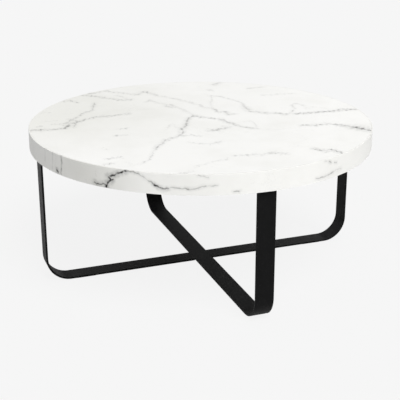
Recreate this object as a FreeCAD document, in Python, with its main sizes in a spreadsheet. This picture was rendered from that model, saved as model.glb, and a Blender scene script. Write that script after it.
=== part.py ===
import FreeCAD, Part
import math
import os
import Sketcher

# Round cocktail table: a built-up, marble-look top on two crossed frames of bent flat bar.
# Lengths are in millimetres. The origin is on the floor under the middle of the top, +Z is up,
# the two half frames stand along X and the unbroken frame along Y.

SIZES = {
    # Whole table
    "table_height": 392,
    "top_diameter": 900,
    "top_thickness": 50,
    # Built-up top
    "edge_band_thickness": 3,
    "edge_band_rounding": 0.8,
    "edge_band_seam": 0.3,
    "laminate_thickness": 1,
    "board_thickness": 6,
    "rim_width": 30,
    "rim_joint": 0.3,
    "block_length": 110,
    "block_width": 90,
    "cell_pitch": 72,
    "paper_thickness": 0.8,
    # Frames of flat bar
    "leg_inset": 14,
    "bar_width": 48,
    "bar_thickness": 5,
    "bar_edge_break": 0.6,
    "bend_radius": 60,
    "crossing_weld_leg": 3,
    # Mounting plates on the legs
    "plate_length": 100,
    "plate_corner_radius": 8,
    "plate_weld_leg": 4,
    "outer_hole_setback": 30,
    "hole_spacing": 50,
    "plate_hole_diameter": 7,
    # Fasteners
    "insert_diameter": 10,
    "insert_length": 18,
    "screw_diameter": 6,
    "screw_length": 20,
    "head_diameter": 10.5,
    "head_height": 3.3,
    "head_chamfer": 1.5,
    "socket_width": 4,
    "socket_depth": 2,
    "washer_diameter": 12,
    "washer_bore": 6.4,
    "washer_thickness": 1.6,
    # Floor pads
    "pad_length": 60,
    "pad_width": 40,
    "pad_thickness": 2,
    "pad_corner_radius": 6,
    "pad_setback": 10,
    # Clearances and the overrun of a drilled hole
    "glue_gap": 0.2,
    "thread_clearance": 0.1,
    "drill_overrun": 2,
}

FULL_TURN = 360
QUARTER_TURN = 90
LEG_COUNT = 4
HALF_FRAME_COUNT = 2
HEXAGON_SIDES = 6
VOLUME_MATCH_SHARE = 0.01
SIDES = ("right", "back", "left", "front")

# Places that several pieces share, worked out from the sizes
UNDERSIDE = "(dim.table_height - dim.top_thickness)"
BOARD_RADIUS = "(dim.top_diameter / 2 - dim.edge_band_thickness - dim.glue_gap)"
RIM_INSIDE = "(%s - dim.rim_width)" % BOARD_RADIUS
CORE_INSIDE = "(%s - dim.glue_gap)" % RIM_INSIDE
LOWER_STACK = "(dim.laminate_thickness + dim.board_thickness)"
CORE_HEIGHT = "(dim.top_thickness - 2 * %s)" % LOWER_STACK
HALF_SPAN = "(dim.top_diameter / 2 - dim.leg_inset)"
LEG_INSIDE = "(%s - dim.bar_thickness)" % HALF_SPAN
OUTER_BEND = "(dim.bend_radius + dim.bar_thickness)"
BAR_TOP = "(dim.pad_thickness + dim.bar_thickness)"
HALF_BAR = "(dim.bar_width / 2)"
PLATE_BOTTOM = "(%s - dim.bar_thickness)" % UNDERSIDE
OUTER_HOLE = "(%s - dim.outer_hole_setback)" % LEG_INSIDE
INNER_HOLE = "(%s - dim.hole_spacing)" % OUTER_HOLE
HOLE_PLACES = (OUTER_HOLE, INNER_HOLE)
WASHER_BOTTOM = "(%s - dim.washer_thickness)" % PLATE_BOTTOM
HEAD_BOTTOM = "(%s - dim.head_height)" % WASHER_BOTTOM
INSERT_HOLE_RADIUS = "(dim.insert_diameter / 2 + dim.thread_clearance)"
BAND_SEAM_ANGLE = "(dim.edge_band_seam / (pi * dim.top_diameter) * %d)" % FULL_TURN
RIM_JOINT_ANGLE = "(dim.rim_joint / (2 * pi * %s) * %d)" % (BOARD_RADIUS, FULL_TURN)

doc = FreeCAD.newDocument("round_cocktail_table")
sheet = doc.addObject("Spreadsheet::Sheet", "dim")
for row, (alias, size) in enumerate(SIZES.items(), start=1):
    sheet.set("A%d" % row, alias)
    sheet.set("B%d" % row, str(size))
    sheet.setAlias("B%d" % row, alias)
doc.recompute()

pieces = []


def value(expression):
    return float(sheet.evalExpression(expression))


def minus(expression):
    return "-(%s)" % expression


def new_body(label, side="right", height=None):
    """A piece drawn for the right side, turned to its own side and raised to a height."""
    body = doc.addObject("PartDesign::Body", label)
    body.Label = label
    turn = FreeCAD.Rotation(FreeCAD.Vector(0, 0, 1), SIDES.index(side) * QUARTER_TURN)
    body.Placement = FreeCAD.Placement(FreeCAD.Vector(0, 0, 0), turn)
    if height:
        body.setExpression("Placement.Base.z", height)
    pieces.append(body)
    return body


def origin_feature(body, role):
    return next(item for item in body.Origin.OriginFeatures if item.Role == role)


def new_sketch(body, plane, height=None):
    sketch = body.newObject("Sketcher::SketchObject", body.Label + "_sketch")
    sketch.AttachmentSupport = [(origin_feature(body, plane), "")]
    sketch.MapMode = "FlatFace"
    if height:
        sketch.setExpression("AttachmentOffset.Base.z", height)
    return sketch


def dimension(sketch, kind, *where_and_size):
    """Add a sized constraint whose size follows an expression."""
    *where, expression = where_and_size
    index = sketch.addConstraint(Sketcher.Constraint(kind, *where, value(expression)))
    sketch.setExpression("Constraints[%d]" % index, expression)


def place_point(sketch, item, end, x, y):
    dimension(sketch, "DistanceX", -1, 1, item, end, x)
    dimension(sketch, "DistanceY", -1, 1, item, end, y)


def add_circle(sketch, x, radius):
    """A circle on the sketch's level axis, or round its origin when x is None."""
    middle = FreeCAD.Vector(value(x) if x else 0, 0, 0)
    circle = sketch.addGeometry(Part.Circle(middle, FreeCAD.Vector(0, 0, 1), value(radius)), False)
    if x:
        sketch.addConstraint(Sketcher.Constraint("PointOnObject", circle, 3, -1))
        dimension(sketch, "DistanceX", -1, 1, circle, 3, x)
    else:
        sketch.addConstraint(Sketcher.Constraint("Coincident", circle, 3, -1, 1))
    dimension(sketch, "Radius", circle, radius)


def add_polygon(sketch, corners):
    """A closed outline of straight runs between corners at (x, y)."""
    places = [FreeCAD.Vector(value(x), value(y), 0) for x, y in corners]
    count = len(corners)
    lines = [
        sketch.addGeometry(Part.LineSegment(places[i], places[(i + 1) % count]), False)
        for i in range(count)
    ]
    for i, (x, y) in enumerate(corners):
        sketch.addConstraint(Sketcher.Constraint("Coincident", lines[i - 1], 2, lines[i], 1))
        place_point(sketch, lines[i], 1, x, y)


def add_rounded_outline(sketch, corners):
    """A closed outline of level and upright runs between corners at (x, y, radius or None)."""
    places = [FreeCAD.Vector(value(x), value(y), 0) for x, y, _ in corners]
    radii = [value(radius) if radius else 0 for _, _, radius in corners]
    count = len(corners)

    def run_end(here, there):
        return places[here] + (places[there] - places[here]).normalize() * radii[here]

    lines = []
    for i in range(count):
        j = (i + 1) % count
        start, end = run_end(i, j), run_end(j, i)
        line = sketch.addGeometry(Part.LineSegment(start, end), False)
        lines.append(line)
        level = abs(start.y - end.y) < abs(start.x - end.x)
        sketch.addConstraint(Sketcher.Constraint("Horizontal" if level else "Vertical", line))
    for i, (_, _, radius) in enumerate(corners):
        before, after = lines[i - 1], lines[i]
        if radius:
            start, end = run_end(i, i - 1), run_end(i, (i + 1) % count)
            middle = start + end - places[i]
            towards_corner = (places[i] - middle).normalize()
            arc_top = middle + towards_corner * radii[i]
            arc = sketch.addGeometry(Part.Arc(start, arc_top, end), False)
            first = 1 if sketch.getPoint(arc, 1).distanceToPoint(start) < radii[i] / 2 else 2
            sketch.addConstraint(Sketcher.Constraint("Tangent", before, 2, arc, first))
            sketch.addConstraint(Sketcher.Constraint("Tangent", after, 1, arc, 3 - first))
            dimension(sketch, "Radius", arc, radius)
        else:
            sketch.addConstraint(Sketcher.Constraint("Coincident", before, 2, after, 1))
    for i, (x, y, _) in enumerate(corners):
        start, end = places[i], places[(i + 1) % count]
        if abs(start.y - end.y) < abs(start.x - end.x):
            dimension(sketch, "DistanceY", -1, 1, lines[i], 1, y)
        else:
            dimension(sketch, "DistanceX", -1, 1, lines[i], 1, x)


def pad(body, sketch, length, symmetric=False):
    feature = body.newObject("PartDesign::Pad", body.Label + "_pad")
    feature.Profile = sketch
    feature.SideType = "Symmetric" if symmetric else "One side"
    feature.setExpression("Length", length)
    return feature


def pocket(body, sketch, length, symmetric=False):
    """Cut along the sketch's normal, or to both sides of it."""
    feature = body.newObject("PartDesign::Pocket", body.Label + "_pocket")
    feature.Profile = sketch
    feature.Reversed = not symmetric
    feature.SideType = "Symmetric" if symmetric else "One side"
    feature.setExpression("Length", length)
    return feature


def revolve(body, sketch, angle, symmetric=False):
    feature = body.newObject("PartDesign::Revolution", body.Label + "_revolution")
    feature.Profile = sketch
    feature.ReferenceAxis = (sketch, ["V_Axis"])
    feature.Midplane = symmetric
    feature.setExpression("Angle", angle)
    return feature


def break_edges(body, base, chosen, size):
    """Chamfer the edges of a feature whose points all pass the test."""
    doc.recompute()
    names = [
        "Edge%d" % number
        for number, edge in enumerate(base.Shape.Edges, start=1)
        if all(chosen(point) for point in edge.discretize(3))
    ]
    feature = body.newObject("PartDesign::Chamfer", body.Label + "_chamfer")
    feature.Base = (base, names)
    feature.setExpression("Size", size)
    return feature


def repeat_round_axis(body, copies):
    """Repeat the whole piece about the table's axis, as a group of separate solids."""
    doc.recompute()
    feature = body.newObject("PartDesign::PolarPattern", body.Label + "_pattern")
    feature.TransformMode = "Whole shape"
    feature.Axis = (origin_feature(body, "Z_Axis"), [""])
    feature.Angle = FULL_TURN
    feature.Occurrences = copies
    body.Tip = feature


def make_disc(label, thickness, height, drilled):
    """A round sheet or board of the top, drilled for the inserts on the lower side."""
    body = new_body(label, height=height)
    sketch = new_sketch(body, "XY_Plane")
    add_circle(sketch, None, BOARD_RADIUS)
    blank = pad(body, sketch, thickness)
    if not drilled:
        return
    holes = new_sketch(body, "XY_Plane")
    for place in HOLE_PLACES:
        add_circle(holes, place, INSERT_HOLE_RADIUS)
    drilling = pocket(body, holes, thickness)
    doc.recompute()
    pattern = body.newObject("PartDesign::PolarPattern", label + "_pattern")
    pattern.Originals = [drilling]
    pattern.Axis = (origin_feature(body, "Z_Axis"), [""])
    pattern.Angle = FULL_TURN
    pattern.Occurrences = LEG_COUNT
    body.Tip = pattern
    doc.recompute()
    hole_area = math.pi * value(INSERT_HOLE_RADIUS) ** 2
    removed = blank.Shape.Volume - pattern.Shape.Volume
    expected = hole_area * value(thickness) * LEG_COUNT * len(HOLE_PLACES)
    if not math.isclose(removed, expected, rel_tol=VOLUME_MATCH_SHARE):
        raise RuntimeError("%s: the insert holes are not cut" % label)


def make_edge_band():
    """A strip bent round the rim, its ends meeting in a butt seam at the back."""
    body = new_body("edge_band", side="back", height=UNDERSIDE)
    sketch = new_sketch(body, "XZ_Plane")
    inside = "(dim.top_diameter / 2 - dim.edge_band_thickness)"
    outside = "(dim.top_diameter / 2)"
    add_rounded_outline(sketch, [
        (inside, "0", None),
        (outside, "0", None),
        (outside, "dim.top_thickness", "dim.edge_band_rounding"),
        (inside, "dim.top_thickness", None),
    ])
    revolve(body, sketch, "%d - %s" % (FULL_TURN, BAND_SEAM_ANGLE))


def make_rim_segment(side):
    """A quarter of the solid ring between the boards, under the edge band."""
    body = new_body("rim_segment_" + side, side=side, height=UNDERSIDE)
    sketch = new_sketch(body, "XZ_Plane")
    top = "(%s + %s)" % (LOWER_STACK, CORE_HEIGHT)
    add_rounded_outline(sketch, [
        (RIM_INSIDE, LOWER_STACK, None),
        (BOARD_RADIUS, LOWER_STACK, None),
        (BOARD_RADIUS, top, None),
        (RIM_INSIDE, top, None),
    ])
    revolve(body, sketch, "%d - %s" % (QUARTER_TURN, RIM_JOINT_ANGLE), symmetric=True)


def make_mounting_block(side):
    """A solid block in the core, glued to the rim, that holds two inserts."""
    body = new_body("mounting_block_" + side, side=side, height="%s + %s" % (UNDERSIDE, LOWER_STACK))
    sketch = new_sketch(body, "XY_Plane")
    inner_end = "(%s - dim.block_length)" % CORE_INSIDE
    half_width = "(dim.block_width / 2)"
    reach = math.sqrt(value(CORE_INSIDE) ** 2 - value(half_width) ** 2)
    low_inner = FreeCAD.Vector(value(inner_end), -value(half_width), 0)
    low_outer = FreeCAD.Vector(reach, -value(half_width), 0)
    far = FreeCAD.Vector(value(CORE_INSIDE), 0, 0)
    high_outer = FreeCAD.Vector(reach, value(half_width), 0)
    high_inner = FreeCAD.Vector(value(inner_end), value(half_width), 0)
    low = sketch.addGeometry(Part.LineSegment(low_inner, low_outer), False)
    arc = sketch.addGeometry(Part.Arc(low_outer, far, high_outer), False)
    high = sketch.addGeometry(Part.LineSegment(high_outer, high_inner), False)
    inner = sketch.addGeometry(Part.LineSegment(high_inner, low_inner), False)
    for before, after in ((low, arc), (arc, high), (high, inner), (inner, low)):
        sketch.addConstraint(Sketcher.Constraint("Coincident", before, 2, after, 1))
    sketch.addConstraint(Sketcher.Constraint("Coincident", arc, 3, -1, 1))
    dimension(sketch, "Radius", arc, CORE_INSIDE)
    sketch.addConstraint(Sketcher.Constraint("Horizontal", high))
    place_point(sketch, low, 1, inner_end, minus(half_width))
    place_point(sketch, inner, 1, inner_end, half_width)
    sketch.addConstraint(Sketcher.Constraint("Horizontal", low))
    pad(body, sketch, CORE_HEIGHT)
    holes = new_sketch(body, "XY_Plane")
    for place in HOLE_PLACES:
        add_circle(holes, place, INSERT_HOLE_RADIUS)
    pocket(body, holes, "dim.insert_length - %s + dim.drill_overrun" % LOWER_STACK)


def hexagon_angles():
    """Directions of a hexagon's corners, with two of its flats facing along X."""
    step = FULL_TURN / HEXAGON_SIDES
    return [step / 2 + step * corner for corner in range(HEXAGON_SIDES)]


def make_honeycomb():
    """Expanded paper honeycomb that fills the ring, trimmed round the mounting blocks."""
    up = FreeCAD.Vector(0, 0, 1)
    radius = value(CORE_INSIDE)
    pitch = value("dim.cell_pitch")
    hollow = pitch - value("dim.paper_thickness")
    gap = value("dim.glue_gap")
    notch_length = value("dim.block_length") + gap
    notch_width = value("dim.block_width") + 2 * gap
    sheet_face = Part.Face(Part.Wire(Part.makeCircle(radius)))
    notches = []
    for turns in range(LEG_COUNT):
        corner = FreeCAD.Vector(radius - notch_length, -notch_width / 2, 0)
        notch = Part.makePlane(2 * notch_length, notch_width, corner)
        notch.rotate(FreeCAD.Vector(0, 0, 0), up, turns * QUARTER_TURN)
        notches.append(notch)
    outline = sheet_face.cut(notches)
    row_step = pitch * math.sqrt(3) / 2
    corner_reach = hollow / math.sqrt(3)
    hexagon = []
    for angle in hexagon_angles():
        across, along = math.cos(math.radians(angle)), math.sin(math.radians(angle))
        hexagon.append(FreeCAD.Vector(across, along, 0) * corner_reach)
    rows = math.ceil(radius / row_step)
    columns = math.ceil(radius / pitch) + 1
    cells = []
    for row in range(-rows, rows + 1):
        for column in range(-columns, columns + 1):
            middle = FreeCAD.Vector((column + row % 2 / 2) * pitch, row * row_step, 0)
            if middle.Length > radius + pitch:
                continue
            corners = [middle + corner for corner in hexagon]
            cells.append(Part.Face(Part.makePolygon(corners + corners[:1])))
    net = max(outline.cut(cells).Faces, key=lambda face: face.Area)
    core = doc.addObject("Part::Feature", "honeycomb_core")
    core.Label = "honeycomb_core"
    core.Shape = net.extrude(up * value(CORE_HEIGHT))
    core.Placement = FreeCAD.Placement(
        FreeCAD.Vector(0, 0, value("%s + %s" % (UNDERSIDE, LOWER_STACK))), FreeCAD.Rotation())
    pieces.append(core)


def on_bar_side(point):
    """True on the two flat sides of a frame, where the bar's long edges lie."""
    return abs(point.y) > value("%s - dim.bar_edge_break / 2" % HALF_BAR)


def make_u_frame():
    """The unbroken frame: one flat bar bent up at both ends, standing along Y."""
    body = new_body("u_frame", side="back")
    sketch = new_sketch(body, "XZ_Plane")
    add_rounded_outline(sketch, [
        (minus(HALF_SPAN), "dim.pad_thickness", OUTER_BEND),
        (HALF_SPAN, "dim.pad_thickness", OUTER_BEND),
        (HALF_SPAN, UNDERSIDE, None),
        (LEG_INSIDE, UNDERSIDE, None),
        (LEG_INSIDE, BAR_TOP, "dim.bend_radius"),
        (minus(LEG_INSIDE), BAR_TOP, "dim.bend_radius"),
        (minus(LEG_INSIDE), UNDERSIDE, None),
        (minus(HALF_SPAN), UNDERSIDE, None),
    ])
    bar = pad(body, sketch, "dim.bar_width", symmetric=True)
    break_edges(body, bar, on_bar_side, "dim.bar_edge_break")


def weld_groove(sketch):
    """The bevel under a half frame's end, which the crossing's weld fills."""
    add_polygon(sketch, [
        (HALF_BAR, "dim.pad_thickness"),
        ("%s + dim.crossing_weld_leg" % HALF_BAR, "dim.pad_thickness"),
        (HALF_BAR, "dim.pad_thickness + dim.crossing_weld_leg"),
    ])


def make_half_frame(side):
    """Half of the crossing frame: an L of flat bar butted against the unbroken frame."""
    body = new_body("half_frame_" + side, side=side)
    sketch = new_sketch(body, "XZ_Plane")
    add_rounded_outline(sketch, [
        (HALF_BAR, "dim.pad_thickness", None),
        (HALF_SPAN, "dim.pad_thickness", OUTER_BEND),
        (HALF_SPAN, UNDERSIDE, None),
        (LEG_INSIDE, UNDERSIDE, None),
        (LEG_INSIDE, BAR_TOP, "dim.bend_radius"),
        (HALF_BAR, BAR_TOP, None),
    ])
    bar = pad(body, sketch, "dim.bar_width", symmetric=True)
    eased = break_edges(body, bar, on_bar_side, "dim.bar_edge_break")
    groove = new_sketch(body, "XZ_Plane")
    weld_groove(groove)
    cut = pocket(body, groove, "dim.bar_width", symmetric=True)
    doc.recompute()
    if not cut.Shape.Volume < eased.Shape.Volume:
        raise RuntimeError("%s: the weld groove is not cut" % body.Label)


def make_crossing_welds():
    body = new_body("crossing_welds")
    sketch = new_sketch(body, "XZ_Plane")
    weld_groove(sketch)
    pad(body, sketch, "dim.bar_width - 2 * dim.bar_edge_break", symmetric=True)
    repeat_round_axis(body, HALF_FRAME_COUNT)


def make_mounting_plate(side):
    """A plate cut from the same bar, welded to a leg's inner face and screwed to the top."""
    body = new_body("mounting_plate_" + side, side=side, height=PLATE_BOTTOM)
    sketch = new_sketch(body, "XY_Plane")
    inner_end = "(%s - dim.plate_length)" % LEG_INSIDE
    add_rounded_outline(sketch, [
        (LEG_INSIDE, minus(HALF_BAR), None),
        (LEG_INSIDE, HALF_BAR, None),
        (inner_end, HALF_BAR, "dim.plate_corner_radius"),
        (inner_end, minus(HALF_BAR), "dim.plate_corner_radius"),
    ])
    for place in HOLE_PLACES:
        add_circle(sketch, place, "dim.plate_hole_diameter / 2")
    pad(body, sketch, "dim.bar_thickness")


def make_plate_welds():
    """A fillet weld in the corner between each leg and its plate."""
    body = new_body("plate_welds")
    sketch = new_sketch(body, "XZ_Plane")
    add_polygon(sketch, [
        (LEG_INSIDE, PLATE_BOTTOM),
        ("%s - dim.plate_weld_leg" % LEG_INSIDE, PLATE_BOTTOM),
        (LEG_INSIDE, "%s - dim.plate_weld_leg" % PLATE_BOTTOM),
    ])
    pad(body, sketch, "dim.bar_width - 2 * dim.bar_edge_break", symmetric=True)
    repeat_round_axis(body, LEG_COUNT)


def make_threaded_inserts():
    body = new_body("threaded_inserts", height=UNDERSIDE)
    sketch = new_sketch(body, "XY_Plane")
    for place in HOLE_PLACES:
        add_circle(sketch, place, "dim.insert_diameter / 2")
        add_circle(sketch, place, "dim.screw_diameter / 2 + dim.thread_clearance")
    pad(body, sketch, "dim.insert_length")
    repeat_round_axis(body, LEG_COUNT)


def make_washers():
    body = new_body("washers", height=WASHER_BOTTOM)
    sketch = new_sketch(body, "XY_Plane")
    for place in HOLE_PLACES:
        add_circle(sketch, place, "dim.washer_diameter / 2")
        add_circle(sketch, place, "dim.washer_bore / 2")
    pad(body, sketch, "dim.washer_thickness")
    repeat_round_axis(body, LEG_COUNT)


def make_machine_screws():
    """Button-head screws with a hexagon socket, driven from below."""
    body = new_body("machine_screws", height=HEAD_BOTTOM)
    heads = new_sketch(body, "XY_Plane")
    shanks = new_sketch(body, "XY_Plane", "dim.head_height")
    sockets = new_sketch(body, "XY_Plane")
    corner_reach = "(dim.socket_width / sqrt(3))"
    for place in HOLE_PLACES:
        add_circle(heads, place, "dim.head_diameter / 2")
        add_circle(shanks, place, "dim.screw_diameter / 2")
        corners = []
        for angle in hexagon_angles():
            across = "%s + %s * cos(%g deg)" % (place, corner_reach, angle)
            corners.append((across, "%s * sin(%g deg)" % (corner_reach, angle)))
        add_polygon(sockets, corners)
    head = pad(body, heads, "dim.head_height")
    break_edges(body, head, lambda point: abs(point.z) < value("dim.head_height") / 2, "dim.head_chamfer")
    pad(body, shanks, "dim.screw_length")
    pocket(body, sockets, "dim.socket_depth")
    repeat_round_axis(body, LEG_COUNT)


def make_floor_pad(side):
    body = new_body("floor_pad_" + side, side=side)
    sketch = new_sketch(body, "XY_Plane")
    outer_end = "(%s - %s - dim.pad_setback)" % (HALF_SPAN, OUTER_BEND)
    inner_end = "(%s - dim.pad_length)" % outer_end
    half_width = "(dim.pad_width / 2)"
    add_rounded_outline(sketch, [
        (outer_end, minus(half_width), "dim.pad_corner_radius"),
        (outer_end, half_width, "dim.pad_corner_radius"),
        (inner_end, half_width, "dim.pad_corner_radius"),
        (inner_end, minus(half_width), "dim.pad_corner_radius"),
    ])
    pad(body, sketch, "dim.pad_thickness")


make_disc("backing_sheet", "dim.laminate_thickness", UNDERSIDE, drilled=True)
make_disc("lower_board", "dim.board_thickness", "%s + dim.laminate_thickness" % UNDERSIDE, drilled=True)
make_disc(
    "upper_board", "dim.board_thickness",
    "dim.table_height - dim.laminate_thickness - dim.board_thickness", drilled=False)
make_disc("top_sheet", "dim.laminate_thickness", "dim.table_height - dim.laminate_thickness", drilled=False)
make_edge_band()
make_honeycomb()
make_u_frame()
make_half_frame("left")
make_half_frame("right")
make_crossing_welds()
make_plate_welds()
make_threaded_inserts()
make_washers()
make_machine_screws()
for side in SIDES:
    make_rim_segment(side)
    make_mounting_block(side)
    make_mounting_plate(side)
    make_floor_pad(side)
doc.recompute()

failed = [item.Label for item in doc.Objects if {"Invalid", "Error"} & set(item.State)]
failed += [piece.Label for piece in pieces if piece.Shape.isNull() or not piece.Shape.isValid()]
if failed:
    raise RuntimeError("failed: " + ", ".join(failed))

os.makedirs("parts", exist_ok=True)
for piece in pieces:
    piece.Shape.exportStep("parts/%s.step" % piece.Label)
    print("%-24s %2d solids %12.1f mm3" % (piece.Label, len(piece.Shape.Solids), piece.Shape.Volume))
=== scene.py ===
# %% [markdown]
# # A round cocktail table with a marble-look top
#
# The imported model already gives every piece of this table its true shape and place: a thick
# round top, two crossing frames of bent flat bar, and the screws, pads and boards that a buyer
# never sees. This lesson dresses that model. The camera, the floor and the light come first,
# because a finish can only be judged under them. Then each finish follows in turn, and last
# come the welds, whose ripples are too fine for the solid model.

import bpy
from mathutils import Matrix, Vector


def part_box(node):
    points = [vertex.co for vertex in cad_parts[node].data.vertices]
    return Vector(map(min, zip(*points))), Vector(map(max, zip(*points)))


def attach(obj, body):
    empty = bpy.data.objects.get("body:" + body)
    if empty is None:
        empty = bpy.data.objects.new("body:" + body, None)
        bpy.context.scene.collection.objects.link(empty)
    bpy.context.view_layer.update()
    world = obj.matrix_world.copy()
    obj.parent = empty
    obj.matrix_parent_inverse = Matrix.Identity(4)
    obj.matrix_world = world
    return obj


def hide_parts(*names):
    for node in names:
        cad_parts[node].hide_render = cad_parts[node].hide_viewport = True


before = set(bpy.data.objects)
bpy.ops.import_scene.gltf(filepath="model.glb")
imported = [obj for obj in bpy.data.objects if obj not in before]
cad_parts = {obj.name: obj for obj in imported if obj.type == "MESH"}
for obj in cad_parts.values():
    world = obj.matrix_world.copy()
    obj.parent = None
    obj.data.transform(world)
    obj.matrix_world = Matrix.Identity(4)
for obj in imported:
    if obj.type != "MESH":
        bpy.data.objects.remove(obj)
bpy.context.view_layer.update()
print("pieces in the frame:", len(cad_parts))

# %% [markdown]
# ## The camera
#
# The two ellipses of the rim and the four legs tell where the photographer stood: a little
# above the table, far enough back for a gentle perspective, and about a fifth of a right angle
# to the left of the bar along Y. A camera can be aimed by eye or with a tracking constraint.
# Here its axes are built from the fitted angles, so that pixels and table can be matched.

# %% Place the camera
import math

import bpy
from mathutils import Matrix, Vector

IMAGE_SIZE = 400
FOCAL_PIXELS = 964.5
SENSOR_WIDTH = 36.0
EYE_DISTANCE = 2.4718
EYE_HEIGHT = 1.0716
EYE_AZIMUTH = math.radians(-20.30)
EYE_YAW = math.radians(-0.04)
EYE_PITCH = math.radians(20.09)
EYE_ROLL = math.radians(-0.11)


def camera_pose():
    """The camera's matrix: right, up and backward axes, and the eye itself."""
    forward = Vector((math.sin(EYE_YAW) * math.cos(EYE_PITCH),
                      math.cos(EYE_YAW) * math.cos(EYE_PITCH), -math.sin(EYE_PITCH)))
    level = Vector((math.cos(EYE_YAW), -math.sin(EYE_YAW), 0))
    upright = level.cross(forward)
    right = level * math.cos(EYE_ROLL) + upright * math.sin(EYE_ROLL)
    up = upright * math.cos(EYE_ROLL) - level * math.sin(EYE_ROLL)
    axes = Matrix((right, up, -forward)).transposed().to_4x4()
    axes.translation = Vector((0, -EYE_DISTANCE, EYE_HEIGHT))
    return Matrix.Rotation(EYE_AZIMUTH, 4, "Z") @ axes


camera_data = bpy.data.cameras.new("photo_camera")
camera_data.sensor_width = SENSOR_WIDTH
camera_data.sensor_fit = "HORIZONTAL"
camera_data.lens = FOCAL_PIXELS / IMAGE_SIZE * SENSOR_WIDTH
camera = bpy.data.objects.new("photo_camera", camera_data)
camera.matrix_world = camera_pose()
bpy.context.collection.objects.link(camera)
bpy.context.scene.camera = camera
print("lens:", round(camera_data.lens, 2), "mm, eye at", camera.matrix_world.translation)

# %% [markdown]
# ## Small helpers for materials
#
# Every finish on this table is procedural: a few noises and a little arithmetic, with no
# picture files. Nodes can be added one by one in the editor. In a script it is easier to read
# if a small helper adds one node, types numbers into its sockets and plugs in other nodes.

# %% Helpers that add one node each
def put(tree, kind, inputs, output=0, **settings):
    """Adds a node, fills or links its inputs, and returns one of its outputs."""
    node = tree.nodes.new(kind)
    for name, value in settings.items():
        setattr(node, name, value)
    for place, value in inputs.items():
        if isinstance(value, bpy.types.NodeSocket):
            tree.links.new(value, node.inputs[place])
        else:
            node.inputs[place].default_value = value
    return node.outputs[output]


def calc(tree, operation, *values, **settings):
    """One step of arithmetic on plain numbers."""
    return put(tree, "ShaderNodeMath", dict(enumerate(values)), operation=operation, **settings)


def steer(tree, operation, *vectors):
    """One step of arithmetic on vectors; a length or a dot product comes out as a number."""
    output = "Value" if operation in {"DOT_PRODUCT", "LENGTH"} else "Vector"
    inputs = dict(enumerate(vectors))
    if operation == "SCALE":
        inputs = {0: vectors[0], "Scale": vectors[1]}
    return put(tree, "ShaderNodeVectorMath", inputs, output, operation=operation)


def noise(tree, point, scale, detail=2.0, roughness=0.5, output="Fac", **settings):
    """A cloudy noise, its scale in features per metre."""
    inputs = {"Vector": point, "Scale": scale, "Detail": detail, "Roughness": roughness}
    return put(tree, "ShaderNodeTexNoise", inputs, output, **settings)


def spread(tree, value, low, high, to_low, to_high, curve="LINEAR"):
    """Stretches a number from one range to another and holds it there."""
    inputs = {0: value, 1: low, 2: high, 3: to_low, 4: to_high}
    return put(tree, "ShaderNodeMapRange", inputs, interpolation_type=curve,
               clamp=curve == "LINEAR")


def blend_colour(tree, share, first, second):
    """A colour between two others."""
    inputs = {0: share, 6: first, 7: second}
    return put(tree, "ShaderNodeMix", inputs, 2, data_type="RGBA")


def new_finish(name, **sockets):
    """A new material with its surface shader; numbers that stay the same are typed in here."""
    material = bpy.data.materials.new(name)
    material.use_nodes = True
    shader = material.node_tree.nodes["Principled BSDF"]
    for socket, value in sockets.items():
        shader.inputs[socket.replace("_", " ")].default_value = value
    return material, material.node_tree, shader


def metres(tree):
    """The place on the table, in metres from the middle of its footprint."""
    return put(tree, "ShaderNodeTexCoord", {}, "Object")


def dress(material, *names):
    """Puts a finish on pieces of the frame."""
    for name in names:
        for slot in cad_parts[name].material_slots:
            slot.material = material
    print(material.name, "on", ", ".join(names))


node_helpers = (put, calc, steer, noise, spread, blend_colour)
print("helpers for nodes:", ", ".join(helper.__name__ for helper in node_helpers))

# %% [markdown]
# ## Floor and light
#
# The photograph was cut out on an even, very pale grey. A white sweep of paper would do that in
# a studio, with one large soft lamp high up, to the right of the camera. A wide floor takes the
# place of the paper. To the camera it glows for the most part, which keeps the grey even, and for
# the rest it is plain matt paper, which keeps the table's shadow. The glow never lights the
# table. Black metal shows little but what it mirrors, so reflections see the pale floor and pale
# walls as well. The walls are greyer in the middle, far behind the table, and this gives the
# bars on the floor their sheen toward the outer ends.

# %% Lay the floor
FLOOR_HALF = 15.0
FLOOR_CORNERS = ((-1, -1), (1, -1), (1, 1), (-1, 1))
FLOOR_TONE = (0.936, 0.936, 0.936, 1)
PAPER_DARK = (0.65, 0.65, 0.65, 1)
PAPER_PALE = (0.67, 0.67, 0.67, 1)
PAPER_WAVES = 90.0
GLOW_TO_CAMERA = 0.93
GLOW_TO_MIRRORS = 0.10
GLOW_TO_LIGHT = 0.0


def by_ray(tree, to_light, to_mirrors, to_camera):
    """One value for rays of light, another for mirrors and glass, a third for the camera."""
    path = tree.nodes.new("ShaderNodeLightPath").outputs
    mirrors = calc(tree, "MAXIMUM", path["Is Glossy Ray"], path["Is Transmission Ray"])
    value = put(tree, "ShaderNodeMix", {0: mirrors, 2: to_light, 3: to_mirrors})
    return put(tree, "ShaderNodeMix", {0: path["Is Camera Ray"], 2: value, 3: to_camera})


floor_mesh = bpy.data.meshes.new("studio_floor")
floor_corners = [(x * FLOOR_HALF, y * FLOOR_HALF, 0) for x, y in FLOOR_CORNERS]
floor_mesh.from_pydata(floor_corners, [], [(0, 1, 2, 3)])
floor = bpy.data.objects.new("studio_floor", floor_mesh)
bpy.context.collection.objects.link(floor)

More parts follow.
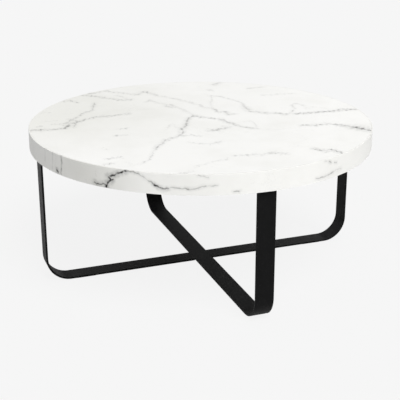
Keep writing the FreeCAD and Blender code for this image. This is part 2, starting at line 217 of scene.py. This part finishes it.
paper, tree, shader = new_finish("white_paper", Roughness=0.9, Specular_IOR_Level=0.0)
paper_fibres = noise(tree, metres(tree), PAPER_WAVES)
paper_colour = blend_colour(tree, paper_fibres, PAPER_DARK, PAPER_PALE)
tree.links.new(paper_colour, shader.inputs["Base Color"])
glow = put(tree, "ShaderNodeEmission", {"Color": FLOOR_TONE, "Strength": 1.0})
glow_share = by_ray(tree, GLOW_TO_LIGHT, GLOW_TO_MIRRORS, GLOW_TO_CAMERA)
paper_mix = put(tree, "ShaderNodeMixShader", {0: glow_share, 1: shader.outputs[0], 2: glow})
tree.links.new(paper_mix, tree.nodes["Material Output"].inputs["Surface"])
floor_mesh.materials.append(paper)
print("floor:", 2 * FLOOR_HALF, "m square")

# %% Light the studio
WALL_LIGHT = 0.235
CEILING_LIGHT = 0.485
WALL_TOP = 0.30
CEILING_EDGE = 0.80
LEFT_WALL = 0.95
MIDDLE_WALL = 0.15
RIGHT_WALL = 1.0
MIDDLE_LEFT = -0.075
MIDDLE_RIGHT = 0.045
WALL_FADE = 0.10
LAMP_STRENGTH = 2.86
LAMP_DISTANCE = 3.5
LAMP_AZIMUTH = math.radians(8)
LAMP_ELEVATION = math.radians(53.5)
LAMP_SPREAD = math.radians(32)


def toward(azimuth, elevation):
    """The direction from the table to a lamp: azimuth 0 is the front, 90 degrees the right."""
    level = math.cos(elevation)
    return Vector((math.sin(azimuth) * level, -math.cos(azimuth) * level, math.sin(elevation)))


bpy.context.scene.view_settings.view_transform = "Standard"
world = bpy.data.worlds.new("pale_studio")
bpy.context.scene.world = world
world.use_nodes = True
tree = world.node_tree
background = tree.nodes["Background"]
background.inputs["Color"].default_value = FLOOR_TONE
direction = put(tree, "ShaderNodeTexCoord", {}, "Generated")
upward = put(tree, "ShaderNodeSeparateXYZ", {0: direction}, "Z")
room = spread(tree, upward, WALL_TOP, CEILING_EDGE, WALL_LIGHT, CEILING_LIGHT)
sideways = (math.cos(EYE_AZIMUTH), math.sin(EYE_AZIMUTH), 0)
aside = steer(tree, "DOT_PRODUCT", direction, sideways)
left_wall = spread(tree, aside, MIDDLE_LEFT - WALL_FADE, MIDDLE_LEFT, LEFT_WALL, MIDDLE_WALL)
right_wall = spread(tree, aside, MIDDLE_RIGHT, MIDDLE_RIGHT + WALL_FADE,
                    MIDDLE_WALL, RIGHT_WALL)
walls = calc(tree, "MAXIMUM", left_wall, right_wall)
tree.links.new(by_ray(tree, room, walls, to_camera=1.0), background.inputs["Strength"])

soft_lamp = bpy.data.lights.new("soft_lamp", "SUN")
soft_lamp.energy = LAMP_STRENGTH
soft_lamp.angle = LAMP_SPREAD
lamp = bpy.data.objects.new("soft_lamp", soft_lamp)
lamp.location = toward(LAMP_AZIMUTH, LAMP_ELEVATION) * LAMP_DISTANCE
lamp.rotation_euler = lamp.location.to_track_quat("Z", "Y").to_euler()
bpy.context.collection.objects.link(lamp)
print("a soft lamp at strength", LAMP_STRENGTH, "under a ceiling at", CEILING_LIGHT)

# %% [markdown]
# ## From a pixel to a place on the top
#
# A marble vein is a crack that filled with another mineral, so no two slabs are alike. Noise
# alone would give some marble, but not this slab. The main veins are therefore followed one by one:
# each one is a few points named by their pixel in the photograph, and the camera that was just
# placed turns a pixel into a place on the upper face or on the upright edge.

# %% Turn pixels into places
TOP_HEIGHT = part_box("top_sheet")[1][2]
TOP_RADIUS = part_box("edge_band")[1][0]
eye = camera.matrix_world.translation


def line_of_sight(pixel):
    """The direction in which the camera sees a pixel."""
    right = (pixel[0] - IMAGE_SIZE / 2) / FOCAL_PIXELS
    up = (IMAGE_SIZE / 2 - pixel[1]) / FOCAL_PIXELS
    return camera.matrix_world.to_3x3() @ Vector((right, up, -1))


def on_face(pixel):
    """Where the line of sight meets the upper face: across the grain, along it, and no height."""
    sight = line_of_sight(pixel)
    place = eye + sight * ((TOP_HEIGHT - eye.z) / sight.z)
    return Matrix.Rotation(-EYE_AZIMUTH, 3, "Z") @ Vector((place.x, place.y, 0))


def on_edge(pixel):
    """Where it meets the upright edge: the way round from the front, and the height."""
    sight = line_of_sight(pixel)
    a = sight.xy.length_squared
    b = eye.xy.dot(sight.xy)
    c = eye.xy.length_squared - TOP_RADIUS ** 2
    place = eye + sight * ((-b - math.sqrt(max(b * b - a * c, 0))) / a)
    return Vector((math.atan2(place.x, -place.y) * TOP_RADIUS, place.z, 0))


NEAR_MIDDLE = (200, 130)
print("pixel", NEAR_MIDDLE, "lies on the face at", on_face(NEAR_MIDDLE))

# %% [markdown]
# ## Drawing veins with nodes
#
# A vein could be painted on vertices or cut as thin geometry. Both need a very dense mesh. Nodes
# need none: one group measures how far a place is from a straight run and keeps the smallest
# distance so far, a second one turns that distance into a dark core with a soft halo. Before it
# is measured, the place is pushed about by noise, and so straight runs come out as wandering,
# broken veins. The nodes are added strictly in the order of use, which keeps the shader small.

# %% Two node groups for veins
HALO_REACH = 4.0
HALO_SHARE = 0.32


def open_group(name, inputs, output):
    """A node group with the sockets asked for; returns its tree and its input node."""
    group = bpy.data.node_groups.new(name, "ShaderNodeTree")
    for socket, kind in inputs.items():
        group.interface.new_socket(socket, in_out="INPUT", socket_type="NodeSocket" + kind)
    group.interface.new_socket(output, in_out="OUTPUT", socket_type="NodeSocketFloat")
    return group, group.nodes.new("NodeGroupInput").outputs


def close_group(group, result):
    """Ends a group in its result."""
    group.links.new(result, group.nodes.new("NodeGroupOutput").inputs[0])
    return group


def vein_run_group():
    """The smallest distance so far to the straight runs of one vein."""
    group, given = open_group("vein_run", {"So far": "Float", "Place": "Vector", "Start": "Vector",
                                           "Run": "Vector", "One over length squared": "Float"},
                              "Nearest")
    offset = steer(group, "SUBTRACT", given["Place"], given["Start"])
    along = steer(group, "DOT_PRODUCT", offset, given["Run"])
    share = calc(group, "MULTIPLY", along, given["One over length squared"])
    share = calc(group, "MINIMUM", calc(group, "MAXIMUM", share, 0.0), 1.0)
    reached = steer(group, "SCALE", given["Run"], share)
    across = steer(group, "LENGTH", steer(group, "SUBTRACT", offset, reached))
    return close_group(group, calc(group, "MINIMUM", given["So far"], across))


def vein_stroke_group():
    """The darkest of the veins so far, with the one whose distance comes in."""
    group, given = open_group("vein_stroke", {"So far": "Float", "Nearest": "Float",
                                              "Width": "Float", "Depth": "Float"}, "Darkness")
    ratio = calc(group, "DIVIDE", given["Nearest"], given["Width"])
    core = spread(group, ratio, 0.0, 1.0, 1.0 - HALO_SHARE, 0.0, "SMOOTHSTEP")
    halo = spread(group, ratio, 0.0, HALO_REACH, HALO_SHARE, 0.0, "SMOOTHSTEP")
    stroke = calc(group, "MULTIPLY", calc(group, "ADD", core, halo), given["Depth"])
    return close_group(group, calc(group, "MAXIMUM", given["So far"], stroke))


VEIN_RUN = vein_run_group()
VEIN_STROKE = vein_stroke_group()
print("vein groups:", len(VEIN_RUN.nodes), "and", len(VEIN_STROKE.nodes), "nodes")


# %% Draw a set of veins
WIDE_WAVES = 22.0
FINE_WAVES = 110.0
NOISE_MIDDLE = 0.5


def draw_veins(tree, place, veins):
    """Adds every vein, each a width in metres, a depth and its points; returns the darkness."""
    darkness = 0.0
    for width, depth, points in veins:
        nearest = 1.0
        for start, end in zip(points, points[1:]):
            run = end - start
            nearest = put(tree, "ShaderNodeGroup", {0: nearest, 1: place, 2: start, 3: run,
                                                    4: 1 / run.length_squared}, node_tree=VEIN_RUN)
        darkness = put(tree, "ShaderNodeGroup", {0: darkness, 1: nearest, 2: width, 3: depth},
                       node_tree=VEIN_STROKE)
    return darkness


def wander(tree, place, sway, tremble):
    """Pushes a place about, widely and then finely, within the plane of the veins."""
    for scale, reach in ((WIDE_WAVES, sway), (FINE_WAVES, tremble)):
        push = noise(tree, place, scale, detail=3.0, output="Color", noise_dimensions="2D")
        push = steer(tree, "SUBTRACT", push, (NOISE_MIDDLE,) * 3)
        push = steer(tree, "MULTIPLY", push, (2 * reach[0], 2 * reach[1], 0.0))
        place = steer(tree, "ADD", place, push)
    return place


print("veins wander at", WIDE_WAVES, "and", FINE_WAVES, "waves to the metre")

# %% [markdown]
# ## The marble-look sheet
#
# The upper face is a printed sheet under a satin clear coat: a warm white ground, faint grey
# clouds, and veins that run from hair-fine to a few millimetres. Seen this low, a vein that runs
# across the view looks much thinner than it is, so those are drawn wider. Each vein below has a
# width in millimetres, a depth and its points. A depth of 1 is full ink, and a little more keeps
# a vein dark where the print is patchy.

# %% Name the veins of the upper face
FACE_VEINS = {
    "left": (4.2, 0.82, [(26, 131), (38, 130.3), (52, 129.6), (65, 128.4), (70, 124), (80, 121)]),
    "left_tail": (3.9, 0.64, [(80, 121), (95, 117), (112, 116), (128, 113.5)]),
    "left_branch": (3.5, 0.45, [(63, 125), (71, 120), (79, 116), (84, 113), (92, 110), (95, 103)]),
    "left_fork": (3.4, 0.54, [(69, 119), (77, 122), (74, 127)]),
    "left_strand": (2.4, 0.34, [(52, 124.6), (64, 123.6), (73, 125), (77, 123.6)]),
    "left_hairs": (1.8, 0.30, [(43, 122), (51, 121), (58, 120.5)]),
    "left_high_hairs": (1.8, 0.32, [(40.5, 113.4), (46, 112.4), (51, 112.8)]),
    "left_dab": (2.4, 0.36, [(36, 127.2), (41, 126.4)]),
    "left_high": (3.0, 0.62, [(64, 101.6), (70, 100.2), (77, 102.4)]),
    "left_low_tick": (2.4, 0.60, [(119, 128.8), (127, 128.4)]),
    "far_left": (4.4, 0.46, [(80, 95), (92, 93.6), (106, 91), (120, 93), (137, 94.8), (143, 91.5)]),
    "far_left_tip": (4.2, 0.46, [(143, 91.5), (150, 93), (159, 96)]),
    "far_left_cross": (3.0, 0.40, [(117, 95.8), (127, 98.6), (131, 100)]),
    "far_left_low": (3.9, 0.60, [(81, 95.3), (94, 96), (109, 98.5), (122, 100.4), (131, 99)]),
    "diagonal": (4.4, 0.29, [(157, 95.5), (175, 99), (190, 102), (205, 107), (214, 110)]),
    "diagonal_end": (4.2, 0.62, [(212, 108.5), (219, 112), (226, 111.5), (229, 115), (236, 114)]),
    "second": (3.3, 0.30, [(146, 102), (150, 100), (157, 102.5), (170, 105.5), (181, 109),
                           (196, 116)]),
    "second_loop": (2.6, 0.40, [(165, 106), (170, 104.4), (177, 107)]),
    "second_dab": (3.4, 0.50, [(166, 106.4), (171, 107.8), (175, 107.2)]),
    "centre_foot": (2.4, 0.30, [(142, 164), (148, 160), (151, 155), (155, 149)]),
    "centre_low": (3.5, 0.70, [(155, 149), (166, 140), (177, 136.7)]),
    "centre": (3.8, 0.66, [(177, 136.7), (183, 133), (181.7, 128.5), (186.5, 125),
                           (187.5, 119.3), (195, 115.3), (201, 117), (210, 118), (220, 119)]),
    "centre_tail": (4.2, 0.70, [(220, 119), (230, 123), (240, 126), (250, 128), (257, 129)]),
    "centre_loop": (1.8, 0.26, [(242, 122), (250, 121), (256, 124.5), (257.5, 128.5)]),
    "centre_side": (2.0, 0.26, [(167, 128.5), (172, 124), (176, 127)]),
    "upper": (2.8, 0.45, [(210, 96), (220, 96.5), (232, 99.7), (242, 102.5), (245, 107)]),
    "upper_run": (4.7, 0.63, [(245, 107), (249, 111), (260, 112.2), (273, 113), (285, 114.4)]),
    "upper_hook": (3.1, 0.38, [(285, 114.4), (291, 112.5), (294, 108), (291, 105.5),
                               (296, 103.3), (305, 106)]),
    "upper_tail": (5.2, 0.86, [(296, 113.6), (315, 112.3), (330, 111)]),
    "upper_end": (5.6, 0.80, [(330, 111), (343, 109.7), (356, 109.3)]),
    "upper_strand": (2.2, 0.26, [(304, 108), (314, 107.4), (325, 108.4)]),
    "upper_drop": (2.2, 0.25, [(212, 97), (210.5, 103), (211, 108)]),
    "far": (4.4, 0.46, [(214, 85), (217, 83.4), (221, 82)]),
    "far_dot": (3.0, 0.56, [(208, 89.5), (213, 90.6)]),
    "far_dash": (2.8, 0.46, [(247, 88.5), (256, 88), (264, 87)]),
    "far_line": (2.8, 0.38, [(262, 95), (278, 94.3), (294, 93.4)]),
    "right_faint": (2.2, 0.10, [(257, 130), (282, 129), (300, 127.5)]),
    "right": (5.0, 0.70, [(303, 125.5), (320, 124.7), (333, 124), (346, 126), (360, 127.8)]),
    "right_bold": (6.2, 0.92, [(338, 124.8), (347, 126.1), (357, 127.4)]),
    "right_end": (9.0, 1.08, [(357, 127.4), (365, 129), (373, 131.2)]),
    "right_front": (4.4, 1.08, [(314, 149), (325, 151), (332, 149.5), (339, 152), (346, 154.2)]),
    "front_line": (3.4, 0.50, [(235, 155.7), (250, 154.8), (263, 154.2), (275, 153), (288, 153.6)]),
    "front_curve": (2.2, 0.30, [(196, 167), (207, 163.7), (214, 161.4), (228, 158.8)]),
    "front_mark": (2.6, 0.32, [(180, 174), (187, 172.3), (193, 171)]),
    "middle_dash": (4.4, 0.80, [(209, 130.5), (218, 129.3), (227, 127)]),
    "middle_low": (3.1, 0.38, [(189, 142.5), (200, 143.6), (211, 144), (221, 141.5)]),
    "middle_tick": (3.1, 0.52, [(181, 136), (192, 134.6), (200, 136)]),
    "left_marks": (3.0, 0.56, [(107, 158.6), (120, 157.2)]),
    "left_tick": (2.8, 0.72, [(115, 135.6), (126, 135.2)]),
    "left_point": (2.6, 0.66, [(104, 164.3), (112, 163.3)]),
    "left_foot": (2.0, 0.12, [(127, 162), (134, 166), (140, 163.5)]),
    "left_dash": (2.4, 0.22, [(100, 149), (108, 149.7)]),
}
MILLIMETRE = 0.001
face_veins = [(width * MILLIMETRE, depth, [on_face(pixel) for pixel in pixels])
              for width, depth, pixels in FACE_VEINS.values()]
print("veins on the face:", len(face_veins), "runs:", sum(len(v[2]) - 1 for v in face_veins))

# %% Mix the marble and put it on the sheet
CLOUD_AND_SHADE_GREY = (0.778, 0.776, 0.742, 1)
CLOUD_WAVES, CLOUD_RANGE, CLOUD_MOST = 7.0, (0.45, 0.75), 0.45
PATCH_WAVES, PATCH_RANGE = 65.0, (0.36, 0.64)
HAIR_WAVES, HAIR_WIDTH, HAIR_DEPTH = 9.0, 0.006, 0.10
REGION_WAVES, REGION_RANGE = 5.0, (0.48, 0.62)
SATIN_WAVES, SATIN_ROUGHNESS = 260.0, (0.38, 0.46)
NOISE_RANGE = (0.3, 0.7)
MARBLE_SHINE = 0.1


def marble(tree, shader, place, veins, white, grey, cloud_and_shade, sway, tremble, faintest, boldest,
           painted_shade=None):
    """The whole marble print: ground, clouding mixed with painted shade, hair veins and the listed
    veins.
    """
    drift = noise(tree, place, CLOUD_WAVES, detail=4.0, roughness=0.6)
    clouds_and_shade = spread(tree, drift, *CLOUD_RANGE, 0.0, CLOUD_MOST)
    # A greyer patch fades out from a middle point: partly print clouding, partly painted shade.
    middle, reach, strength = cloud_and_shade
    away = steer(tree, "LENGTH", steer(tree, "SUBTRACT", place, middle))
    clouds_and_shade = calc(tree, "ADD", clouds_and_shade, spread(tree, away, 0.0, reach, strength, 0.0))
    # Painted shade, where given, greys the print further, as on the band's rounded arris.
    if painted_shade:
        clouds_and_shade = calc(tree, "ADD", clouds_and_shade, painted_shade)
    darkness = draw_veins(tree, wander(tree, place, sway, tremble), veins)
    patches = noise(tree, place, PATCH_WAVES, detail=3.0, roughness=0.65)
    patches = spread(tree, patches, *PATCH_RANGE, faintest, boldest)
    darkness = calc(tree, "MULTIPLY", darkness, patches)
    ridge = noise(tree, place, HAIR_WAVES, detail=5.0, roughness=0.62)
    ridge = calc(tree, "SUBTRACT", ridge, NOISE_MIDDLE)
    hairs = spread(tree, calc(tree, "ABSOLUTE", ridge), 0.0, HAIR_WIDTH, HAIR_DEPTH, 0.0)
    regions = spread(tree, noise(tree, place, REGION_WAVES), *REGION_RANGE, 0.0, 1.0)
    darkness = calc(tree, "ADD", darkness, calc(tree, "MULTIPLY", hairs, regions), use_clamp=True)
    ground = blend_colour(tree, clouds_and_shade, white, CLOUD_AND_SHADE_GREY)
    tree.links.new(blend_colour(tree, darkness, ground, grey), shader.inputs["Base Color"])
    sheen = spread(tree, noise(tree, place, SATIN_WAVES), *NOISE_RANGE, *SATIN_ROUGHNESS)
    tree.links.new(sheen, shader.inputs["Roughness"])


# The face greys toward its far-left rim: partly print clouding, partly painted shade.
FACE_PRINT = {"white": (0.884, 0.882, 0.864, 1), "grey": (0.150, 0.148, 0.146, 1),
              "cloud_and_shade": (on_face((40, 112)), 0.48, 1.25), "sway": (0.006, 0.010),
              "tremble": (0.006, 0.020), "faintest": 0.22, "boldest": 1.15}
marble_sheet, tree, shader = new_finish("marble_print_face", Specular_IOR_Level=MARBLE_SHINE)
on_grain = put(tree, "ShaderNodeVectorRotate", {"Vector": metres(tree), "Angle": -EYE_AZIMUTH},
               rotation_type="Z_AXIS")
flat_place = steer(tree, "MULTIPLY", on_grain, (1.0, 1.0, 0.0))
marble(tree, shader, flat_place, face_veins, **FACE_PRINT)
dress(marble_sheet, "top_sheet")

# %% [markdown]
# ## The edge band
#
# The upright edge wears a separate strip of the same print, glued round the rim with its seam at
# the back. Its veins do not run on from those of the face, which gives the strip away. On a
# strip, a place is the way round the rim and the height, so the nodes unroll the rim first. Only
# the front half is in the photograph. The veins of the back half are drawn from a seeded dice.
# Where the strip is rounded off to meet the face, its print is painted a little greyer:
# painted shade that tones down the bright line the lamp lights along the rounding.

# %% Name the veins of the edge
import random

EDGE_VEINS = {
    "upright": (1.8, 0.50, [(61, 154), (61.5, 163), (61, 174)]),
    "upright_foot": (3.2, 1.10, [(57, 169.5), (58, 172)]),
    "upright_left": (1.8, 0.20, [(52.5, 151), (52.5, 168)]),
    "upright_far": (1.8, 0.22, [(45, 150), (45, 161)]),
    "crack_foot": (3.0, 1.00, [(94.3, 182), (96, 184), (99, 184.6), (103, 183.8), (106, 184.6)]),
    "crack_stem": (4.0, 1.20, [(106, 186), (106.8, 183.6), (110.8, 179.6), (108.6, 177)]),
    "crack_spur": (2.2, 0.90, [(110.8, 179.6), (113.4, 179.2)]),
    "crack_left": (3.4, 1.10, [(108.6, 177), (112, 175.4), (116, 174.5), (120.5, 172.8),
                               (125.3, 170.8)]),
    "crack_top": (2.2, 0.50, [(125.3, 170.8), (131.5, 171.5), (138, 173.7)]),
    "crack_right": (1.9, 0.40, [(138, 173.7), (142.5, 176.5), (148, 181)]),
    "crack_bead": (2.0, 0.50, [(148, 181), (151, 182.2), (154, 184.8)]),
    "crack_belly": (2.8, 0.88, [(154, 184.8), (159, 187.6), (164, 188.7), (168.5, 188.2)]),
    "crack_tail": (2.0, 0.42, [(168.5, 188.2), (172, 187.2), (177, 187.8), (185, 188.4)]),
    "crack_late": (2.2, 0.48, [(185, 188.4), (190, 188.9), (196, 188.6), (201, 186.8),
                               (206, 185.9)]),
    "crack_end": (2.0, 0.30, [(206, 185.9), (212, 185.8), (218, 185.2)]),
    "front_dot": (2.2, 0.42, [(234, 192), (239, 190.8)]),
    "front_dash": (2.2, 0.28, [(198, 175.4), (203, 176), (208, 177.4)]),
    "right_dot": (1.8, 0.16, [(325.4, 161.0), (326.8, 161.6)]),
    "right_dot_two": (2.2, 0.66, [(329.4, 161.8), (331.0, 162.5)]),
    "right_dot_three": (2.0, 0.40, [(334.6, 162.3), (336.6, 162.9)]),
    "right": (2.2, 0.42, [(316, 178.6), (327, 176), (335, 170.6), (341, 168.3)]),
}
edge_veins = [(width * MILLIMETRE, depth, [on_edge(pixel) for pixel in pixels])
              for width, depth, pixels in EDGE_VEINS.values()]

BACK_VEINS = (-1.32, -1.10, -0.88, 0.80, 0.98, 1.14, 1.33)
BACK_SWAY = (-0.012, 0.030)
BACK_STEP = (0.010, 0.022)
BACK_WIDTH = (0.0014, 0.0024)
BACK_DEPTH = (0.25, 0.6)
DICE_SEED = 11
dice = random.Random(DICE_SEED)
BAND_LOW, BAND_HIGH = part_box("edge_band")[0][2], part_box("edge_band")[1][2]
for place_round in BACK_VEINS:
    height = BAND_HIGH
    points = []
    while height > BAND_LOW:
        points.append(Vector((place_round, height, 0)))
        place_round += dice.uniform(*BACK_SWAY)
        height -= dice.uniform(*BACK_STEP)
    edge_veins.append((dice.uniform(*BACK_WIDTH), dice.uniform(*BACK_DEPTH), points))
print("veins on the edge:", len(edge_veins))

# %% Put the marble on the band
# The band greys on the left of its front, which faces away from the lamp: partly print clouding,
# partly painted shade.
BAND_PRINT = {"white": (0.900, 0.898, 0.872, 1), "grey": (0.024, 0.023, 0.024, 1),
              "cloud_and_shade": (on_edge((84, 170)), 0.16, 1.0), "sway": (0.002, 0.002),
              "tremble": (0.003, 0.003), "faintest": 0.50, "boldest": 1.4}
# Painted shade: the print greys over the rounded arris at the top of the band.
ARRIS_HEIGHT = 0.8 * MILLIMETRE
ARRIS_SHADE = 0.55
marble_band, tree, shader = new_finish("marble_print_edge", Specular_IOR_Level=MARBLE_SHINE)
x_y_z = put(tree, "ShaderNodeSeparateXYZ", {0: metres(tree)}).node
frontward = calc(tree, "MULTIPLY", x_y_z.outputs["Y"], -1.0)
turn = calc(tree, "ARCTAN2", x_y_z.outputs["X"], frontward)
way_round = calc(tree, "MULTIPLY", turn, TOP_RADIUS)
unrolled = put(tree, "ShaderNodeCombineXYZ", {"X": way_round, "Y": x_y_z.outputs["Z"], "Z": 0.0})
painted_arris_shade = spread(tree, x_y_z.outputs["Z"], BAND_HIGH - ARRIS_HEIGHT, BAND_HIGH,
                    0.0, ARRIS_SHADE)
marble(tree, shader, unrolled, edge_veins, **BAND_PRINT, painted_shade=painted_arris_shade)
dress(marble_band, "edge_band")

# %% [markdown]
# ## Black powder coat on the bars
#
# The frames are flat steel bar, bent, welded and powder coated in satin black. Powder melts into
# a skin with a faint orange peel, so the finish is a near-black ground, a roughness that varies
# a little, and a very low bump about a millimetre wide. Its gloss is weak when faced and
# stronger when skimmed, which the shader gives by itself.

# %% Coat the bars and plates
COAT_GROUND = (0.0030, 0.0030, 0.0031, 1)
COAT_PALE = (0.0060, 0.0060, 0.0062, 1)
COAT_SHINE = 0.09
MOTTLE_WAVES = 60.0
PEEL_WAVES, PEEL_STRENGTH, PEEL_HEIGHT = 850.0, 0.12, 0.0002


def powder_coat(name, low, high):
    """Satin black powder coat whose roughness lies between two values."""
    material, tree, shader = new_finish(name, Specular_IOR_Level=COAT_SHINE)
    place = metres(tree)
    mottle = noise(tree, place, MOTTLE_WAVES, detail=3.0)
    tree.links.new(blend_colour(tree, mottle, COAT_GROUND, COAT_PALE), shader.inputs["Base Color"])
    peel = noise(tree, place, PEEL_WAVES, detail=1.0)
    tree.links.new(spread(tree, mottle, *NOISE_RANGE, low, high), shader.inputs["Roughness"])
    bump = put(tree, "ShaderNodeBump", {"Strength": PEEL_STRENGTH, "Distance": PEEL_HEIGHT,
                                        "Height": peel})
    tree.links.new(bump, shader.inputs["Normal"])
    return material


black_bar = powder_coat("black_powder_coat", low=0.42, high=0.50)
SIDES = ("right", "back", "left", "front")
dress(black_bar, "u_frame", "half_frame_left", "half_frame_right",
      *["mounting_plate_" + side for side in SIDES])
black_weld = powder_coat("black_coated_weld", low=0.44, high=0.54)
dress(black_weld, "crossing_welds", "plate_welds")

# %% [markdown]
# ## Boards, paper and fastenings
#
# Under the print the top is a hollow board: two thin fibreboards, a ring and blocks of
# chipboard, and a paper honeycomb between them. Screws hold the frames to inserts in the blocks.
# Little of this shows, but a part in a library may be opened up, so each gets its own finish.

# %% Finish the boards and the honeycomb
EVEN_FLECKS = (0.35, 0.65)
SHARP_FLECKS = (0.42, 0.58)
FLECK_STRENGTH, FLECK_HEIGHT = 0.3, 0.0004


def board(name, pale, dark, fleck_waves, fleck_range, **sockets):
    """A pressed board or paper: two tones mixed by flecks, matt and a little rough to the touch."""
    material, tree, shader = new_finish(name, Roughness=0.85, Specular_IOR_Level=0.2, **sockets)
    place = metres(tree)
    flecks = noise(tree, place, fleck_waves, detail=5.0, roughness=0.65)
    share = spread(tree, flecks, *fleck_range, 0.0, 1.0)
    tree.links.new(blend_colour(tree, share, pale, dark), shader.inputs["Base Color"])
    bump = put(tree, "ShaderNodeBump", {"Strength": FLECK_STRENGTH, "Distance": FLECK_HEIGHT,
                                        "Height": flecks})
    tree.links.new(bump, shader.inputs["Normal"])
    return material


dress(board("raw_fibreboard", (0.42, 0.30, 0.19, 1), (0.30, 0.20, 0.12, 1), 420.0, EVEN_FLECKS),
      "upper_board", "lower_board")
dress(board("raw_chipboard", (0.52, 0.39, 0.24, 1), (0.24, 0.16, 0.09, 1), 160.0, SHARP_FLECKS),
      *["rim_segment_" + side for side in SIDES], *["mounting_block_" + side for side in SIDES])
dress(board("brown_paper", (0.45, 0.32, 0.19, 1), (0.36, 0.25, 0.14, 1), 300.0, EVEN_FLECKS),
      "honeycomb_core")
dress(board("backing_laminate", (0.57, 0.57, 0.54, 1), (0.52, 0.52, 0.49, 1), 240.0, EVEN_FLECKS),
      "backing_sheet")
dress(board("grey_felt", (0.050, 0.050, 0.052, 1), (0.022, 0.022, 0.024, 1), 900.0, EVEN_FLECKS,
            Sheen_Weight=0.3, Sheen_Roughness=0.5), *["floor_pad_" + side for side in SIDES])

# %% Finish the screws, washers and inserts
FILM_WAVES = 500.0


def plated(name, dark, pale, low, high):
    """A plated fastening: metal with a thin, uneven film."""
    material, tree, shader = new_finish(name, Metallic=1.0)
    place = metres(tree)
    film = noise(tree, place, FILM_WAVES, detail=3.0, roughness=0.6)
    tree.links.new(blend_colour(tree, film, dark, pale), shader.inputs["Base Color"])
    tree.links.new(spread(tree, film, *NOISE_RANGE, low, high), shader.inputs["Roughness"])
    return material


dress(plated("black_oxide", (0.030, 0.030, 0.032, 1), (0.060, 0.060, 0.064, 1),
             low=0.32, high=0.48), "machine_screws")
dress(plated("zinc_plate", (0.55, 0.56, 0.58, 1), (0.72, 0.73, 0.75, 1), low=0.25, high=0.42),
      "threaded_inserts", "washers")

# %% [markdown]
# ## Weld beads
#
# One run of weld in the corner holds each plate to its leg, and two runs hold the crossing from
# below. A welder's hand leaves ripples: every spot of molten steel freezes as a crescent before
# the next one covers its edge. The solid model has plain three-sided bars there. A bump in the
# finish would do from far off, but here each bead is a real strip of faces, so that its ripples
# are in the mesh itself. The coat goes on afterwards, as in the workshop.

# %% Take the solid welds apart
import bmesh

RIPPLE_PITCH = 0.0022
RIPPLE_HEIGHT = 0.0003
RIPPLE_BOW = 0.7
BEAD_STEP = 0.00045
BEAD_STRIPS = 8
END_TAPER = 0.0018
END_LEAST = 0.3
DROP_SIZES = (0.86, 1.0)
PLATE_CROWN = 0.0007
SNAP_DISTANCE = 0.00001


def separate_pieces(node):
    """The corners of each separate piece in a node, in the order of the mesh."""
    mesh = bmesh.new()
    mesh.from_mesh(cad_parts[node].data)
    bmesh.ops.remove_doubles(mesh, verts=mesh.verts, dist=SNAP_DISTANCE)
    pieces = []
    for first in mesh.verts:
        if first.tag:
            continue
        first.tag = True
        piece, waiting = [], [first]
        while waiting:
            corner = waiting.pop()
            piece.append(corner.co.copy())
            for edge in corner.link_edges:
                other = edge.other_vert(corner)
                if not other.tag:
                    other.tag = True
                    waiting.append(other)
        pieces.append(piece)
    mesh.free()
    return pieces


print("solid welds:", [len(separate_pieces(node)) for node in ("plate_welds", "crossing_welds")])


# %% Shape one bead
def add_bead(mesh, corners, inward, crown, dice):
    """Adds a rippled bead in place of a three-sided bar that faces down and, in part, inward."""
    middle = sum(corners, Vector()) / len(corners)
    outward = Vector((middle.x, middle.y, 0)).normalized()
    along = Vector((-outward.y, outward.x, 0))
    facing = (Vector((0, 0, -1)) - outward * inward).normalized()
    start = min(corner.dot(along) for corner in corners)
    length = max(corner.dot(along) for corner in corners) - start
    section = sorted((corner for corner in corners if corner.dot(along) - start < length / 2),
                     key=lambda corner: corner.dot(facing))
    root, toe_one, toe_two = [corner - along * corner.dot(along) for corner in section]
    steps = round(length / BEAD_STEP)
    drops = [dice.uniform(*DROP_SIZES) for _ in range(round(length / RIPPLE_PITCH) + 2)]
    rings = []
    for step in range(steps + 1):
        gone = length * step / steps
        from_end = min(gone, length - gone, END_TAPER) / END_TAPER
        rounding = max(math.sqrt(1 - (1 - from_end) ** 2), END_LEAST)
        drop, share = divmod(gone / RIPPLE_PITCH, 1)
        size = rounding * (drops[int(drop)] * (1 - share) + drops[int(drop) + 1] * share)
        ring = []
        for strip in range(BEAD_STRIPS + 1):
            across = strip / BEAD_STRIPS
            arch = 4 * across * (1 - across)
            ripple = abs(math.sin(math.pi * (gone / RIPPLE_PITCH + RIPPLE_BOW * arch)))
            lift = crown * arch + RIPPLE_HEIGHT * (ripple - 1) * math.sqrt(arch)
            place = root + (toe_one.lerp(toe_two, across) - root) * size
            ring.append(mesh.verts.new(place + facing * lift * rounding + along * (start + gone)))
        ring.append(mesh.verts.new(root + along * (start + gone)))
        rings.append(ring)
    for ring, following in zip(rings, rings[1:]):
        for i in range(len(ring)):
            j = (i + 1) % len(ring)
            face = mesh.faces.new((ring[i], ring[j], following[j], following[i]))
            face.smooth = j < len(ring) - 1 and i < len(ring) - 2
    mesh.faces.new(rings[0])
    mesh.faces.new(reversed(rings[-1]))


print("a bead is", BEAD_STRIPS, "strips wide, with a ripple every", RIPPLE_PITCH / MILLIMETRE, "mm")


# %% Lay the beads and coat them
def lay_beads(name, node, inward, crown):
    """Replaces the solid welds of a node by rippled beads."""
    dice = random.Random(node)
    mesh = bmesh.new()
    for corners in separate_pieces(node):
        add_bead(mesh, corners, inward, crown, dice)
    bmesh.ops.recalc_face_normals(mesh, faces=mesh.faces)
    mesh_data = bpy.data.meshes.new(name)
    mesh.to_mesh(mesh_data)
    mesh.free()
    mesh_data.materials.append(black_weld)
    beads = bpy.data.objects.new(name, mesh_data)
    bpy.context.collection.objects.link(beads)
    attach(beads, "root")
    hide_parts(node)
    print(name, "has", len(mesh_data.polygons), "faces")


lay_beads("plate_weld_beads", "plate_welds", inward=1.0, crown=PLATE_CROWN)
lay_beads("crossing_weld_beads", "crossing_welds", inward=0.0, crown=0.0)
